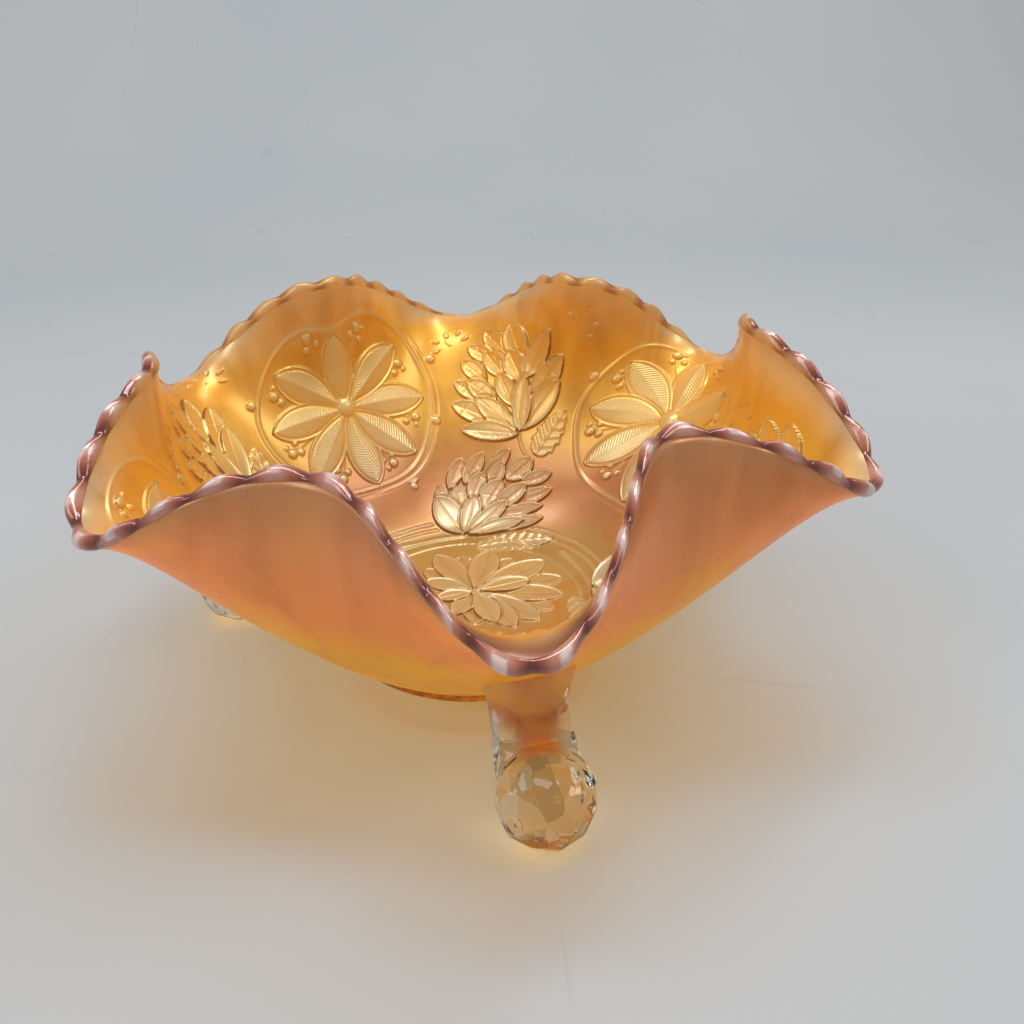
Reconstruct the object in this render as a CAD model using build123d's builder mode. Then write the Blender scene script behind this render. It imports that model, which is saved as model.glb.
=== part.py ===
"""Ruffled three-footed carnival glass bowl, about 250 mm across, modelled in millimetres.

The bowl stands on three ball feet. Its round floor carries a water lily inside a plain ring, the wall
rises from the floor and opens into six ruffles, and a scalloped bead finishes the rim. Raised flowers
lie on the inner face only. +Z is up and the origin is on the ground, under the centre of the bowl.
"""

import math
import os

from build123d import *

os.makedirs("parts", exist_ok=True)

# ---- Driving dimensions -----------------------------------------------------------------------
MEAN_RIM_RADIUS = 103.0      # rim radius half way between a valley and a crest
MEAN_RIM_HEIGHT = 99.7       # rim height half way between a valley and a crest
RUFFLES = 6                  # flared-out valleys round the rim, with a crest between each two
RUFFLE_OUT = 17.6            # how far a valley flares out past the mean radius, and a crest pulls in
RUFFLE_DROP = 14.0           # how far a valley drops below the mean height, and a crest stands above
CREST_FLATTENING = 2.3       # second wave, which broadens the crests and the valleys
VALLEY_ANGLE = -90.0         # direction of the front valley

BASE_RADIUS = 44.3           # where the outer face of the wall leaves the base
BASE_HEIGHT = 14.4
FLOOR_UNDER = 16.4           # recessed underside of the floor
COLLAR_HEIGHT = 11.6         # lowest edge of the collar ring under the floor
COLLAR_WIDTH = 6.5
COLLAR_ROUNDING = 0.7

WALL_THICKNESS = 3.6
BASE_THICKENING = 4.4        # extra glass where the wall meets the floor
BEAD_OVERHANG = 0.5          # the rim bead is this much proud of each face of the wall
BEAD_HEIGHT = 3.4            # rim bead above the end of the wall, between two scallops
SCALLOP_HEIGHT = 1.6
SCALLOPS_PER_RUFFLE = 10
RELIEF_HEIGHT = 0.9
RELIEF_CLEARANCE = 0.02      # keeps two smooth faces that follow each other from crossing

FEET = 3
FOOT_TURN = 6.2              # the feet stand a little round from the ruffles, which are crimped by hand
FOOT_RADIUS = 89.0           # centre of each ball from the axis
BALL_DIAMETER = 28.0
BALL_SINK = 0.4              # ground flat under each ball
LEG_WIDTH = 22.5
LEG_THICKNESS = 13.5
LEG_ROUNDING = 5.5
LEG_TOP = (69.0, 44.0)       # middle line of a leg: inside the wall, under it, and at the shin
LEG_KNEE = (71.5, 30.0)
LEG_SHIN = (77.5, 20.5)

POINSETTIAS = 4
POINSETTIA_RADIUS = 29.0
POINSETTIA_ANGLE = 28.5      # round from the front valley
POINSETTIA_PLACE = 0.60      # share of the way up the wall
LILY_ANGLE = 73.5            # the lily columns stand half way between the poinsettias
UPPER_LILY_PLACE = 0.49
LOWER_LILY_PLACE = 0.10
LILY_RADIUS = 32.0
LILY_LEAN = 20.0             # the lower lily leans to the right
RING_RADIUS = 37.5           # plain raised ring round the centre flower
RING_WIDTH = 1.6
CENTRE_LILY_RADIUS = 26.0
CENTRE_PETALS = 12
RELIEF_REACH = 13.0          # the outlines of the flowers are cast this far each way onto the wall
RELIEF_START = 0.02          # the raised work lies between these shares of the meridian
RELIEF_END = 0.94

WALL_END = 0.976             # share of the meridian where the wall ends and the rim bead begins
BEAD_SECTIONS = 4 * SCALLOPS_PER_RUFFLE
WALL_SECTIONS = 2 * SCALLOPS_PER_RUFFLE
RUFFLE_STEP = 360.0 / RUFFLES


# ---- Shape of the wall ------------------------------------------------------------------------
def bezier(values, share):
    """Point on a cubic curve, one coordinate at a time."""
    rest = 1.0 - share
    start, first, second, end = values
    return rest**3 * start + 3 * rest**2 * share * first + 3 * rest * share**2 * second + share**3 * end


def outer_face(angle, share):
    """Radius and height of the outer face: angle in degrees from the front valley, share up the wall."""
    radius = bezier((BASE_RADIUS, BASE_RADIUS + 27.0, MEAN_RIM_RADIUS - 4.1, MEAN_RIM_RADIUS), share)
    height = bezier((BASE_HEIGHT, BASE_HEIGHT + 20.6, MEAN_RIM_HEIGHT - 31.9, MEAN_RIM_HEIGHT), share)
    wave = math.cos(math.radians(RUFFLES * angle))
    second_wave = math.cos(math.radians(2 * RUFFLES * angle))
    radius += RUFFLE_OUT * wave * (0.6 * share**2 + 0.4 * share**6)
    height -= (RUFFLE_DROP * wave + CREST_FLATTENING * second_wave) * share**6
    return radius, height


def inward(angle, share):
    """Unit direction square to the outer face, towards the inside of the bowl."""
    below = outer_face(angle, share - 0.001)
    above = outer_face(angle, share + 0.001)
    run, rise = above[0] - below[0], above[1] - below[1]
    length = math.hypot(run, rise)
    return -rise / length, run / length


def face_point(angle, share, depth):
    """Point at a depth under the outer face; the bead end of the wall is centred on the rim line."""
    radius, height = outer_face(angle, share)
    across, up = inward(angle, share)
    shift = depth - 0.5 * WALL_THICKNESS * share**4
    return radius + across * shift, height + up * shift


def thickness(share):
    """Wall thickness, growing towards the floor."""
    return WALL_THICKNESS + BASE_THICKENING * max(0.0, 1.0 - share / 0.35) ** 2


def radial_plane(angle):
    """Upright plane through the axis: X runs outwards and Y runs up."""
    turn = math.radians(VALLEY_ANGLE + angle)
    out = (math.cos(turn), math.sin(turn), 0)
    return Plane(origin=(0, 0, 0), x_dir=out, z_dir=(math.sin(turn), -math.cos(turn), 0))


def section_angles(sections=WALL_SECTIONS):
    """Evenly spaced directions across one ruffle, from crest to crest."""
    return [RUFFLE_STEP * (step / sections - 0.5) for step in range(sections + 1)]


def layer_section(angle, low, high, first, last):
    """Closed outline between two depths of the wall, from one share of the meridian to another."""
    steps = 8
    shares = [first + (last - first) * step / steps for step in range(steps + 1)]
    outer = [face_point(angle, share, low(share)) for share in shares]
    inner = [face_point(angle, share, high(share)) for share in reversed(shares)]
    Spline(*outer)
    Line(outer[-1], inner[0])
    Spline(*inner)
    Line(inner[-1], outer[0])


# ---- Wall, in six equal ruffles ---------------------------------------------------------------
with BuildPart() as wall_sector:
    for angle in section_angles():
        with BuildSketch(radial_plane(angle)):
            with BuildLine():
                layer_section(angle, lambda share: 0.0, thickness, 0.0, WALL_END)
            make_face()
    loft()

with BuildPart() as bowl_wall:
    for ruffle in range(RUFFLES):
        add(wall_sector.part.rotate(Axis.Z, ruffle * RUFFLE_STEP))
bowl_wall.part.label = "bowl_wall"


# ---- Rim bead with its scallops ---------------------------------------------------------------
def rim_point(angle):
    """Point of the rim line in space."""
    radius, height = outer_face(angle, 1.0)
    turn = math.radians(angle)
    return Vector(radius * math.cos(turn), radius * math.sin(turn), height)


def scalloped_angles():
    """Section angles spaced evenly along the rim line, so that all scallops are equally long."""
    angles = section_angles(BEAD_SECTIONS)
    lengths = [0.0]
    for before, after in zip(angles, angles[1:]):
        lengths.append(lengths[-1] + (rim_point(after) - rim_point(before)).length)
    result = []
    place = 0
    for step in range(BEAD_SECTIONS + 1):
        wanted = lengths[-1] * step / BEAD_SECTIONS
        while place < BEAD_SECTIONS - 1 and lengths[place + 1] < wanted:
            place += 1
        share = (wanted - lengths[place]) / (lengths[place + 1] - lengths[place])
        result.append(angles[place] + share * (angles[place + 1] - angles[place]))
    return result


def bead_section(angle, scallop):
    """Rounded bead on the end of the wall, taller by the given scallop height."""
    outer = face_point(angle, WALL_END, 0.0)
    inner = face_point(angle, WALL_END, WALL_THICKNESS)
    across, up = inward(angle, WALL_END)
    side = 0.5 * WALL_THICKNESS

    def at(over, along):
        middle = (0.5 * (outer[0] + inner[0]), 0.5 * (outer[1] + inner[1]))
        return middle[0] + across * over + up * along, middle[1] + up * over - across * along

    top = BEAD_HEIGHT + scallop
    edge = side + BEAD_OVERHANG
    Spline(outer, at(-edge, 0.4 * top), at(-0.6 * side, 0.88 * top), at(0, top))
    Spline(at(0, top), at(0.6 * side, 0.88 * top), at(edge, 0.4 * top), inner)
    Line(inner, outer)


with BuildPart() as bead_sector:
    for number, angle in enumerate(scalloped_angles()):
        lift = SCALLOP_HEIGHT * (0.5 - 0.5 * math.cos(math.tau * number / 4))
        with BuildSketch(radial_plane(angle)):
            with BuildLine():
                bead_section(angle, lift)
            make_face()
    loft()

with BuildPart() as rim_edge:
    for ruffle in range(RUFFLES):
        add(bead_sector.part.rotate(Axis.Z, ruffle * RUFFLE_STEP))
rim_edge.part.label = "rim_edge"

# ---- Floor and collar -------------------------------------------------------------------------
floor_edge = face_point(0, 0, thickness(0))
collar_outside = BASE_RADIUS - 0.8
collar_inside = collar_outside - COLLAR_WIDTH
recess_radius = collar_inside - 1.5

with BuildPart() as bowl_floor:
    with BuildSketch(Plane.XZ):
        with BuildLine():
            Polyline(
                (0, floor_edge[1]),
                floor_edge,
                (BASE_RADIUS, BASE_HEIGHT),
                (collar_inside, BASE_HEIGHT),
                (recess_radius, FLOOR_UNDER),
                (0, FLOOR_UNDER),
                close=True,
            )
        make_face()
    revolve(axis=Axis.Z)
bowl_floor.part.label = "bowl_floor"

with BuildPart() as base_collar:
    with BuildSketch(Plane.XY.offset(COLLAR_HEIGHT)):
        Circle(collar_outside)
        Circle(collar_inside, mode=Mode.SUBTRACT)
    extrude(amount=BASE_HEIGHT - COLLAR_HEIGHT)
    fillet(base_collar.faces().sort_by(Axis.Z)[0].edges(), radius=COLLAR_ROUNDING)
base_collar.part.label = "base_collar"


# ---- Ball feet and legs -----------------------------------------------------------------------
ball_radius = 0.5 * BALL_DIAMETER
foot_plane = radial_plane(FOOT_TURN)
ball_centre = foot_plane.from_local_coords(Vector(FOOT_RADIUS, ball_radius - BALL_SINK, 0))

with BuildPart() as front_ball:
    with Locations(ball_centre):
        Sphere(ball_radius)
    split(bisect_by=Plane.XY, keep=Keep.TOP)

with BuildPart() as front_leg:
    with BuildLine(foot_plane) as leg_line:
        Spline(LEG_TOP, LEG_KNEE, LEG_SHIN, (FOOT_RADIUS, ball_radius - BALL_SINK))
    leg_start = Plane(origin=leg_line.line @ 0, x_dir=foot_plane.z_dir, z_dir=leg_line.line % 0)
    with BuildSketch(leg_start):
        RectangleRounded(LEG_WIDTH, LEG_THICKNESS, LEG_ROUNDING)
    sweep()
    add(front_ball.part, mode=Mode.SUBTRACT)
    add(wall_sector.part, mode=Mode.SUBTRACT)
leg_solid = front_leg.part.solids().sort_by(SortBy.VOLUME)[-1]


# ---- Raised flowers on the inner face ---------------------------------------------------------
def petal(start, length, width, turn):
    """One pointed petal in the current sketch, from its root towards its tip."""
    along = Vector(math.cos(math.radians(turn)), math.sin(math.radians(turn)))
    aside = Vector(-along.Y, along.X)
    root = Vector(*start)
    middle = root + along * (0.5 * length)
    tip = root + along * length
    with BuildLine() as outline:
        ThreePointArc(root, middle + aside * (0.5 * width), tip)
        ThreePointArc(tip, middle - aside * (0.5 * width), root)
    make_face(outline.line.edges())


def poinsettia_outline():
    """Eight pointed petals round a button."""
    for number in range(8):
        petal((0, 0), POINSETTIA_RADIUS, 0.42 * POINSETTIA_RADIUS, 45.0 * number)
    Circle(0.16 * POINSETTIA_RADIUS)


def lily_outline(lean):
    """Water lily seen from the side: three tiers of petals that fan out from one root."""
    root = (0, -0.5 * LILY_RADIUS)
    for tier, (petals, length) in enumerate(((7, 1.1), (6, 0.85), (5, 0.6))):
        for number in range(petals):
            spread = 130.0 * (number / (petals - 1) - 0.5)
            petal(root, length * LILY_RADIUS, (0.34 - 0.03 * tier) * LILY_RADIUS, 90.0 - lean + spread)


def relief_plane(angle, place):
    """Plane on the inner face of the wall: X to the right as seen from inside, Z square to the glass."""
    radius, height = face_point(angle, place, thickness(place))
    across, up = inward(angle, place)
    turn = math.radians(VALLEY_ANGLE + angle)
    out = Vector(math.cos(turn), math.sin(turn), 0)
    right = Vector(math.sin(turn), -math.cos(turn), 0)
    return Plane(origin=out * radius + Vector(0, 0, height), x_dir=right, z_dir=out * across + Vector(0, 0, up))


def relief_bottom(share):
    """Depth of the underside of the raised work."""
    return thickness(share) + RELIEF_CLEARANCE


def relief_top(share):
    """Depth of the top of the raised work."""
    return thickness(share) + RELIEF_HEIGHT


with BuildPart() as relief_sector:
    for angle in section_angles():
        with BuildSketch(radial_plane(angle)):
            with BuildLine():
                layer_section(angle, relief_bottom, relief_top, RELIEF_START, RELIEF_END)
            make_face()
    loft()

with BuildPart() as relief_layer:
    for ruffle in range(RUFFLES):
        add(relief_sector.part.rotate(Axis.Z, ruffle * RUFFLE_STEP))

flowers = {}
for number in range(POINSETTIAS):
    turn = 360.0 / POINSETTIAS * number
    with BuildPart() as poinsettia:
        with BuildSketch(relief_plane(POINSETTIA_ANGLE + turn, POINSETTIA_PLACE)):
            poinsettia_outline()
        extrude(amount=RELIEF_REACH, both=True)
        add(relief_layer.part, mode=Mode.INTERSECT)
    flowers[f"poinsettia_{number + 1}"] = poinsettia.part
    for tier, place, lean in (("upper", UPPER_LILY_PLACE, 0.0), ("lower", LOWER_LILY_PLACE, LILY_LEAN)):
        with BuildPart() as lily:
            with BuildSketch(relief_plane(LILY_ANGLE + turn, place)):
                lily_outline(lean)
            extrude(amount=RELIEF_REACH, both=True)
            add(relief_layer.part, mode=Mode.INTERSECT)
        flowers[f"{tier}_water_lily_{number + 1}"] = lily.part

with BuildPart() as centre_water_lily:
    with BuildSketch(Plane.XY.offset(floor_edge[1])):
        for number in range(CENTRE_PETALS):
            turn = 360.0 / CENTRE_PETALS * number
            reach = CENTRE_LILY_RADIUS * (1.0 + 0.2 * math.cos(math.radians(turn)))
            petal((-4, 0), reach, 0.36 * CENTRE_LILY_RADIUS, turn)
    extrude(amount=RELIEF_HEIGHT)
flowers["centre_water_lily"] = centre_water_lily.part

with BuildPart() as medallion_ring:
    with BuildSketch(Plane.XY.offset(floor_edge[1])):
        Circle(RING_RADIUS)
        Circle(RING_RADIUS - RING_WIDTH, mode=Mode.SUBTRACT)
    extrude(amount=RELIEF_HEIGHT)
flowers["medallion_ring"] = medallion_ring.part


# ---- One file for each piece ------------------------------------------------------------------
pieces = [bowl_wall.part, rim_edge.part, bowl_floor.part, base_collar.part]
for number, place in enumerate(("front", "back_right", "back_left")):
    leg = leg_solid.rotate(Axis.Z, 360.0 / FEET * number)
    leg.label = f"leg_{place}"
    ball = front_ball.part.rotate(Axis.Z, 360.0 / FEET * number)
    ball.label = f"ball_foot_{place}"
    pieces += [leg, ball]
for name, flower in flowers.items():
    flower.label = name
    pieces.append(flower)

for piece in pieces:
    export_step(piece, f"parts/{piece.label}.step")
    print(piece.label, len(piece.solids()), "solids,", round(piece.volume), "mm3")
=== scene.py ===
"""Looks of the ruffled carnival glass bowl: pressed marigold glass on three ball feet.

Every piece is built in the CAD frame, in metres. The shape of the wall is the same formula as the CAD
part's, worked in millimetres and scaled at the end, with the small unevenness of hand crimping added.
"""

import math

import bmesh
import bpy
import numpy as np
from mathutils import Matrix, Vector


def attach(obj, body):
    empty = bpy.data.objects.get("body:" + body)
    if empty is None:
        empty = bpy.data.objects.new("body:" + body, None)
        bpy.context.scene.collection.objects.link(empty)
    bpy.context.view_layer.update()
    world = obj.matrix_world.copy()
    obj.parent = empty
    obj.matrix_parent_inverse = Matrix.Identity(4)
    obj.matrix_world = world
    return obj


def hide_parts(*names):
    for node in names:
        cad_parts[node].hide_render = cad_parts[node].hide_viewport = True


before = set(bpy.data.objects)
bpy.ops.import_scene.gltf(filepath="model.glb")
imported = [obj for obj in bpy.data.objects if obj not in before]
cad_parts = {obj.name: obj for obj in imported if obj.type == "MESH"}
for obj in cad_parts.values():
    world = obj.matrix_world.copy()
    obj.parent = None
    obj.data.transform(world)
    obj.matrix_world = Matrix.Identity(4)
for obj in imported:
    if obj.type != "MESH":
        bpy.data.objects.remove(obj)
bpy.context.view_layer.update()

MM = 0.001

# ---- Shape of the wall, in millimetres ----
MEAN_RIM_RADIUS = 103.0
MEAN_RIM_HEIGHT = 99.7
RUFFLES = 6
RUFFLE_OUT = 17.6
RUFFLE_DROP = 14.0
CREST_FLATTENING = 2.3
FRONT = math.radians(-90.0)      # direction of the front valley; angles below are measured from it
BASE_RADIUS = 44.3
BASE_HEIGHT = 14.4
WALL_THICKNESS = 3.6
BASE_THICKENING = 4.4
WALL_END = 0.988
CRIMP_SHIFT = 0.0128             # the flanks of the ruffles are a little steeper than a plain wave
FLOOR_BLEND = 1.3                # rounding where the floor turns up into the wall
RELIEF_DEPTH = 1.0

# Each valley and crest was crimped by hand: how far it stands out and up from the even wave, going
# round from the front valley, valley and crest in turn, and how far it is turned sideways at the rim.
CRIMP_OUT = (-1.3, -4.5, -0.1, 3.0, -3.0, -2.2, 1.1, 1.2, -6.0, 5.6, -2.6, 2.6)
CRIMP_UP = (-4.0, -1.3, 2.4, 2.1, -3.5, 0.1, -2.0, 0.9, -4.5, -1.1, 2.4, -3.7)
CRIMP_TURN = (0.0, 0.0, 0.0, 0.0, 0.03, -0.10, -0.085, 0.0, -0.06, 0.025, 0.0, 0.0)


def bezier(values, share):
    """Point on a cubic curve, one coordinate at a time."""
    rest = 1.0 - share
    start, first, second, end = values
    return rest**3 * start + 3 * rest**2 * share * first + 3 * rest * share**2 * second + share**3 * end


def uneven(values, angle):
    """Smooth wave through one value every thirty degrees."""
    place = np.mod(angle, math.tau) / math.tau * len(values)
    low = np.floor(place).astype(int) % len(values)
    ease = 0.5 - 0.5 * np.cos(np.pi * (place - np.floor(place)))
    table = np.array(values)
    return table[low] * (1 - ease) + table[(low + 1) % len(values)] * ease


def mean_face(share):
    """Radius and height of the outer face before crimping."""
    radius = bezier((BASE_RADIUS, BASE_RADIUS + 27.0, MEAN_RIM_RADIUS - 4.1, MEAN_RIM_RADIUS), share)
    height = bezier((BASE_HEIGHT, BASE_HEIGHT + 20.6, MEAN_RIM_HEIGHT - 31.9, MEAN_RIM_HEIGHT), share)
    return radius, height


def outer_face(angle, share):
    """Radius and height of the outer face of the ruffled wall."""
    radius, height = mean_face(share)
    wave = np.cos(RUFFLES * angle)
    second_wave = np.cos(2 * RUFFLES * angle)
    out = RUFFLE_OUT * wave + uneven(CRIMP_OUT, angle)
    up = RUFFLE_DROP * wave + CREST_FLATTENING * second_wave - uneven(CRIMP_UP, angle)
    return radius + out * (0.6 * share**2 + 0.4 * share**6), height - up * share**6


def thickness(share):
    return WALL_THICKNESS + BASE_THICKENING * np.maximum(0.0, 1.0 - share / 0.35) ** 2


def inward(angle, share):
    """Unit direction square to the outer face in the upright plane, towards the inside."""
    below, above = outer_face(angle, share - 0.001), outer_face(angle, share + 0.001)
    run, rise = above[0] - below[0], above[1] - below[1]
    length = np.hypot(run, rise)
    return -rise / length, run / length


def in_space(angle, radius, height, share):
    """Point in space for a radius and height in one direction."""
    shift = uneven(CRIMP_TURN, angle) - CRIMP_SHIFT * np.sin(RUFFLES * angle)
    turn = FRONT + angle + shift * share**6
    return np.stack([radius * np.cos(turn), radius * np.sin(turn), height], axis=-1)


def layer(angle, share, depth):
    """Surface at a depth under the outer face; the rim line is the middle of the wall at its end."""
    radius, height = outer_face(angle, share)
    across, up = inward(angle, share)
    shift = depth - 0.5 * WALL_THICKNESS * share**4
    return radius + across * shift, height + up * shift


FLOOR_RADIUS, FLOOR_TOP = (float(value) for value in layer(np.float64(0), np.float64(0), thickness(0.0)))
FLOOR_UNDER = 16.4               # recessed underside of the floor
_next = layer(np.float64(0), np.float64(0.004), thickness(0.004))
FLOOR_SLOPE = float((_next[1] - FLOOR_TOP) / (_next[0] - FLOOR_RADIUS))


def meet_floor(height):
    """Height of the inner face, rounded where the floor turns up into the wall."""
    half = 0.5 * (height - FLOOR_TOP)
    return FLOOR_TOP + half + np.sqrt(half**2 + FLOOR_BLEND**2)


def inner_wall(angle, share):
    """Inner face of the wall in space, before the relief."""
    radius, height = layer(angle, share, thickness(share))
    return in_space(angle, radius, meet_floor(height), share)


def inner_floor(angle, radius):
    """Inner face of the floor in space, before the relief."""
    return in_space(angle, radius, meet_floor(FLOOR_TOP + FLOOR_SLOPE * (radius - FLOOR_RADIUS)), 0.0)


# The flowers were cut into the plunger, so they are laid out on the wall as it was before crimping:
# round the mean radius, and up the mean profile from the edge of the floor.
_shares = np.linspace(0.0, 1.0, 1001)
_mean = np.stack(mean_face(_shares), axis=-1)
_climb = np.concatenate([[0.0], np.cumsum(np.linalg.norm(np.diff(_mean, axis=0), axis=1))])


def climb(share):
    """Millimetres up the wall from the edge of the floor."""
    return np.interp(share, _shares, _climb)


def girth(share):
    """Mean radius of the inner face."""
    return np.interp(share, _shares, _mean[:, 0]) - 0.6 * thickness(share)


def turned(angle, centre):
    """Angle from centre, between minus and plus half a turn."""
    return np.mod(angle - centre + math.pi, math.tau) - math.pi


# ---- Relief ----
def smooth(low, high, value):
    """Smooth ramp from 0 at low to 1 at high."""
    t = np.clip((value - low) / (high - low), 0.0, 1.0)
    return t * t * (3 - 2 * t)


def ridge(distance, width):
    """Rounded line of the given width along distance 0."""
    return np.exp(-((distance / (0.5 * width)) ** 2))


def over(height, cover, top):
    """Lays a raised shape over what is there, where cover is 1."""
    return height * (1 - cover) + top * cover


def local(x, y, root, turn):
    """Coordinates along and across a direction, from a root."""
    dx, dy = x - root[0], y - root[1]
    c, s = math.cos(math.radians(turn)), math.sin(math.radians(turn))
    return dx * c + dy * s, -dx * s + dy * c


def petal_width(share, widest):
    """Half-width of a pointed petal along its length, 1 at its widest."""
    t = np.clip(share, 0.0, 1.0)
    tip = 0.72
    rise = widest / (1.0 - widest) * tip
    return t**rise * (1 - t) ** tip / (widest**rise * (1 - widest) ** tip)


def petal(height, x, y, root, turn, length, width, top=0.95, hollow=0.65, lift=0.0, widest=0.52):
    """One pointed petal: a raised outline round a dished face, standing over its neighbours."""
    u, v = local(x, y, root, turn)
    share = u / length
    half = 0.5 * width * petal_width(share, widest)
    inside = (share > 0) & (share < 1)
    edge = np.where(inside, half - np.abs(v), -1.0)
    cover = smooth(-0.05, 0.40, edge)
    across = np.clip(np.abs(v) / np.maximum(half, 0.2), 0.0, 1.0)
    body = top - hollow * (1 - across**2) * smooth(0.0, 0.3, share)
    body = body + 0.30 * ridge(edge - 0.5, 0.8) - 0.20 * ridge(v, 0.7)
    groove = ridge(edge + 0.45, 0.9) * smooth(-0.01, 0.05, share) * (share < 1.02)
    rim = np.maximum(height - 0.35 * groove, 0.0)
    return over(rim, cover, body + lift)


def roof_petal(height, x, y, root, turn, length, width, top=1.65, veins=0.12):
    """Poinsettia petal: two sloping halves that meet in a sharp midrib, hatched, with a raised edge."""
    u, v = local(x, y, root, turn)
    share = u / length
    half = 0.5 * width * petal_width(share, 0.60)
    inside = (share > 0) & (share < 1)
    edge = np.where(inside, half - np.abs(v), -1.0)
    cover = smooth(-0.1, 0.4, edge)
    across = np.clip(np.abs(v) / np.maximum(half, 0.3), 0.0, 1.0)
    ends = smooth(0.0, 0.45, share) * smooth(1.15, 0.7, share)
    body = top * (0.15 + 0.85 * (1 - across)) * (0.35 + 0.65 * ends)
    body = body + 0.40 * ridge(edge - 0.6, 0.9) - 0.30 * ridge(edge - 1.5, 0.7)
    body = body + veins * np.cos(math.tau * (u + 0.55 * np.abs(v)) / 1.15) * smooth(1.7, 2.3, edge)
    return over(height, cover, body)


def bead(height, x, y, centre, radius, top):
    """Round pearl."""
    distance = np.hypot(x - centre[0], y - centre[1]) / radius
    return np.maximum(height, top * np.sqrt(np.clip(1 - distance**2, 0.0, None)))


# Direction and length of each petal of a poinsettia.
POINSETTIA_PETALS = (
    (-6, 33.5), (36, 33.0), (91, 27.5), (144, 31.5), (184, 32.0), (229, 33.5), (274, 34.0), (311, 33.5),
)
POINSETTIA_WIDTH = 14.5
BERRIES = ((29.4, 0.4, 1.9), (26.3, 2.2, 1.4), (26.0, -2.1, 1.3), (30.0, -2.6, 1.0))  # out, aside, radius


def poinsettia_frame(turn):
    """Radius of the thin frame round a poinsettia: a rounded square with its top side drawn in."""
    top = turned(turn, math.radians(93.0)) / math.radians(26.0)
    corner = turned(turn, math.radians(38.0)) / math.radians(26.0)
    return 35.3 - 6.5 * np.exp(-(top**2)) + 3.0 * np.exp(-(corner**2)) + 0.6 * np.cos(6 * turn)


def poinsettia(height, x, y):
    """Eight hatched petals round a button, in a thin frame, with berries between the petal tips."""
    reach, turn = np.hypot(x, y), np.arctan2(y, x)
    line = poinsettia_frame(turn)
    height = np.maximum(height, 0.50 * ridge(reach - line, 1.5))
    height = np.maximum(height, 0.30 * ridge(reach - line - 2.6, 1.1) * smooth(0.1, 0.7, np.cos(turn + 0.5)))
    for number in range(8):
        between = math.radians(22.5 + 45.0 * number)
        for out, aside, size in BERRIES:
            spot = (
                out * math.cos(between) - aside * math.sin(between),
                out * math.sin(between) + aside * math.cos(between),
            )
            height = bead(height, x, y, spot, size, 0.62 * size)
        stem, end = ((out * math.cos(between), out * math.sin(between)) for out in (20.0, 27.0))
        height = stalk(height, x, y, stem, end, 0.5, 0.9, 0.3)
    for way, length in POINSETTIA_PETALS:
        height = roof_petal(height, x, y, (0, 0), way, length, POINSETTIA_WIDTH)
    height = bead(height, x, y, (0, 0), 5.8, 0.8)
    return bead(height, x, y, (0, 0), 3.9, 2.1)


# Water lilies are seen from the side. Each petal is: where its hidden base is, to the right and up
# from the root of the flower, the way it points, its length and its width; the farthest comes first.
LOWER_LILY = (
    (-9.5, 21.0, 75, 13.5, 6.6), (-4.0, 23.0, 66, 15.0, 7.0), (3.5, 26.5, 55, 16.0, 6.8),
    (12.5, 26.0, 48, 15.0, 9.0), (18.5, 25.5, 30, 14.5, 6.4), (13.5, 14.5, 32, 21.5, 6.8),
    (9.5, 9.5, 24, 21.0, 5.6), (7.0, 1.5, 27, 25.0, 6.2), (-9.5, 9.5, 106, 15.0, 6.5),
    (-0.5, 16.5, 75, 12.5, 7.6), (6.5, 21.5, 73, 13.0, 7.0), (4.5, 12.0, 66, 15.5, 9.6),
    (10.0, 13.5, 49, 16.5, 7.8), (-3.0, 9.5, 107, 14.0, 7.6), (-0.5, 0.0, 127, 23.5, 10.6),
    (-0.3, 0.5, 85, 18.5, 8.2), (0.6, 0.2, 52, 21.8, 7.4), (1.0, -0.4, 27, 23.0, 6.8),
)
UPPER_LILY = (
    (-5.0, 28.0, 139, 19.0, 9.4), (-13.0, 27.5, 152, 13.0, 7.2), (0.0, 27.5, 121, 19.0, 10.6),
    (-7.0, 21.5, 137, 14.0, 8.8), (-15.0, 19.0, 143, 13.5, 7.6), (0.5, 21.0, 126, 14.5, 10.6),
    (-15.0, 11.5, 152, 14.5, 7.2), (-10.0, 11.5, 150, 14.5, 8.4), (1.5, 23.0, 69, 21.0, 9.4),
    (4.0, 13.5, 59, 24.5, 10.0), (-1.5, 10.0, 125, 16.0, 9.4), (-8.0, 2.5, 161, 21.0, 8.8),
    (0.8, 1.0, 57, 28.5, 10.0), (-0.5, 0.5, 147, 21.5, 9.8), (0.6, 0.4, 90, 24.5, 8.8),
    (0.5, -0.6, 182, 23.6, 8.8),
)


def water_lily(height, x, y, petals):
    for number, (right, up, turn, length, width) in enumerate(petals):
        lift = 0.35 * number / len(petals)
        height = petal(height, x, y, (right, up), turn, length, width, lift=lift)
    return height


def stalk(height, x, y, start, end, bow, width=1.3, top=0.45):
    """Thin bowed stem from start to end."""
    length = math.hypot(end[0] - start[0], end[1] - start[1])
    turn = math.degrees(math.atan2(end[1] - start[1], end[0] - start[0]))
    u, v = local(x, y, start, turn)
    share = u / length
    inside = smooth(-0.02, 0.03, share) * smooth(-0.02, 0.03, 1 - share)
    return np.maximum(height, top * ridge(v - bow * 4 * share * (1 - share), width) * inside)


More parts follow.
